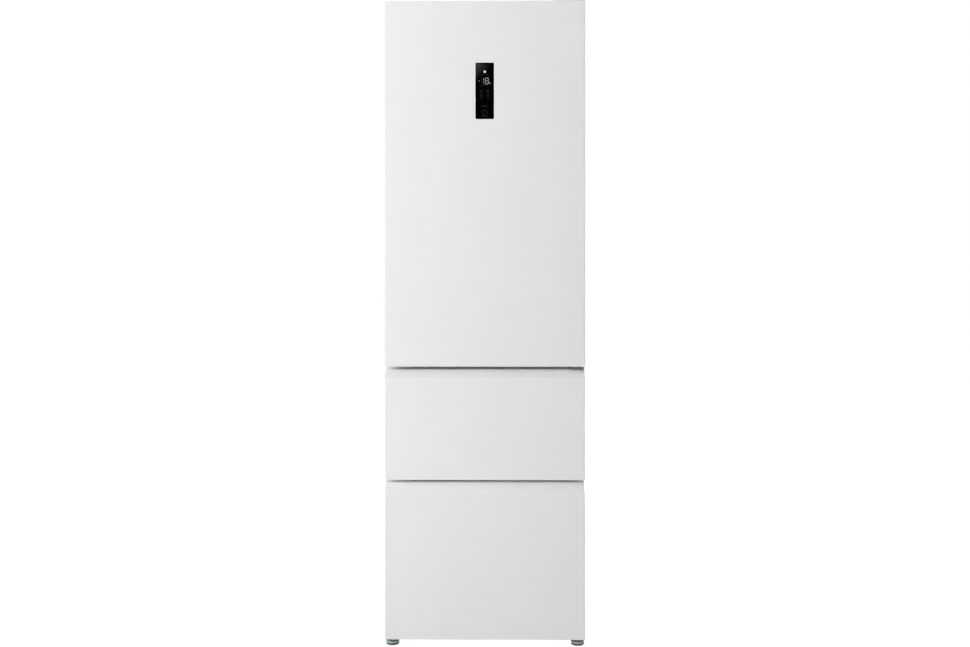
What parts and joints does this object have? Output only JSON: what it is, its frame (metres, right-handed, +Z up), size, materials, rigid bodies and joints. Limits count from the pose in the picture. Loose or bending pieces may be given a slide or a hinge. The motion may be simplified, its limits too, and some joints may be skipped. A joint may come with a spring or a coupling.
{
  "type": "fridge freezer",
  "caption": "Tall white fridge freezer with a hinged fridge door, a black upright display panel, and pull-out freezer drawers with sloped full-width grips.",
  "frame": {"origin": "on the floor, under the middle of the whole body, door and rear spacers included", "axes": "+Z up; the door and drawer fronts face -Y; +X is the hinge side, on the right seen from the front"},
  "size_m": [0.599, 0.672, 1.949],
  "materials": {
    "white_paint": "smooth white enamel, semi-gloss",
    "foam": "rigid foamed filling, hidden",
    "liner_plastic": "formed white sheet, semi-gloss",
    "white_plastic": "moulded white, fine satin",
    "zinc_steel": "zinc-coated sheet",
    "black_plastic": "moulded black, fine grain",
    "black_enamel": "satin black enamel",
    "hinge_steel": "pressed steel, zinc-plated",
    "shelf_glass": "clear toughened glass",
    "clear_plastic": "clear moulded",
    "light_lens": "opal lens",
    "fin_aluminium": "bare fins and tube",
    "rail_steel": "bright zinc-plated slides",
    "foot_plastic": "dark slate moulding, glossy",
    "seal_rubber": "soft pale grey seal",
    "display_glass": "black glossy glass",
    "display_marks": "lit digits and signs"
  },
  "bodies": {
    "cabinet": {"outer_case": "white_paint", "insulation": "foam", "fridge_liner": "liner_plastic", "freezer_liner": "liner_plastic", "cross_rails": "white_paint", "rear_panel": "zinc_steel", "machine_cover": "black_plastic", "base_frame": "zinc_steel", "compressor": "black_enamel", "drip_tray": "black_plastic", "mains_gland": "black_plastic", "top_hinge": "hinge_steel", "top_hinge_cover": "white_plastic", "middle_hinge": "hinge_steel", "hinge_screws": "hinge_steel", "wall_spacers": "black_plastic", "shelf_1": "shelf_glass", "shelf_2": "shelf_glass", "shelf_3": "shelf_glass", "crisper_shelf": "shelf_glass", "shelf_trims": "white_plastic", "chill_drawer": "clear_plastic", "crisper_drawer": "clear_plastic", "air_duct": "white_plastic", "ceiling_light": "light_lens", "freezer_duct": "white_plastic", "evaporator": "fin_aluminium", "fixed_rails": "rail_steel"},
    "left_foot": {"left_foot": "foot_plastic"},
    "right_foot": {"right_foot": "foot_plastic"},
    "left_roller": {"left_roller": "black_plastic"},
    "right_roller": {"right_roller": "black_plastic"},
    "evaporator_fan": {"evaporator_fan": "black_plastic"},
    "door": {"door_skin": "white_paint", "door_end_caps": "white_plastic", "door_liner": "liner_plastic", "door_insulation": "foam", "door_seal": "seal_rubber", "upper_balcony": "clear_plastic", "middle_balcony": "clear_plastic", "bottle_balcony": "clear_plastic", "display_glass": "display_glass", "display_housing": "black_plastic"},
    "middle_drawer": {"middle_front_skin": "white_paint", "middle_front_caps": "white_plastic", "middle_front_liner": "liner_plastic", "middle_front_core": "foam", "middle_seal": "seal_rubber", "middle_basket": "clear_plastic", "middle_runners": "rail_steel"},
    "middle_slides": {"middle_rail_members": "rail_steel"},
    "lower_drawer": {"lower_front_skin": "white_paint", "lower_front_caps": "white_plastic", "lower_front_liner": "liner_plastic", "lower_front_core": "foam", "lower_seal": "seal_rubber", "lower_basket": "clear_plastic", "lower_runners": "rail_steel"},
    "lower_slides": {"lower_rail_members": "rail_steel"},
    "sliding_tray": {"sliding_tray": "clear_plastic"}
  },
  "joints": [
    {"name": "door_hinge", "type": "hinge", "parent": "cabinet", "child": "door", "pos_m": [0.2815, -0.306, 0.842], "axis": [0, 0, 1], "range_deg": [0, 120]},
    {"name": "middle_drawer_slide", "type": "slide", "parent": "cabinet", "child": "middle_drawer", "axis": [0, -1, 0], "range_m": [0, 0.37]},
    {"name": "middle_slides_slide", "type": "slide", "parent": "cabinet", "child": "middle_slides", "axis": [0, -1, 0], "range_m": [0, 0.185]},
    {"name": "lower_drawer_slide", "type": "slide", "parent": "cabinet", "child": "lower_drawer", "axis": [0, -1, 0], "range_m": [0, 0.3]},
    {"name": "lower_slides_slide", "type": "slide", "parent": "cabinet", "child": "lower_slides", "axis": [0, -1, 0], "range_m": [0, 0.15]},
    {"name": "tray_slide", "type": "slide", "parent": "lower_drawer", "child": "sliding_tray", "axis": [0, 1, 0], "range_m": [0, 0.18]},
    {"name": "left_foot_screw", "type": "hinge", "parent": "cabinet", "child": "left_foot", "pos_m": [-0.2795, -0.291, 0], "axis": [0, 0, 1], "continuous": true},
    {"name": "right_foot_screw", "type": "hinge", "parent": "cabinet", "child": "right_foot", "pos_m": [0.2795, -0.291, 0], "axis": [0, 0, 1], "continuous": true},
    {"name": "left_roller_axle", "type": "hinge", "parent": "cabinet", "child": "left_roller", "pos_m": [-0.2655, 0.294, 0.0105], "axis": [1, 0, 0], "continuous": true},
    {"name": "right_roller_axle", "type": "hinge", "parent": "cabinet", "child": "right_roller", "pos_m": [0.2655, 0.294, 0.0105], "axis": [1, 0, 0], "continuous": true},
    {"name": "fan_shaft", "type": "hinge", "parent": "cabinet", "child": "evaporator_fan", "pos_m": [0, 0.212, 0.713], "axis": [0, 1, 0], "continuous": true}
  ],
  "couplings": [
    {"joint": "middle_slides_slide", "follows": "middle_drawer_slide", "ratio": 0.5},
    {"joint": "lower_slides_slide", "follows": "lower_drawer_slide", "ratio": 0.5}
  ]
}
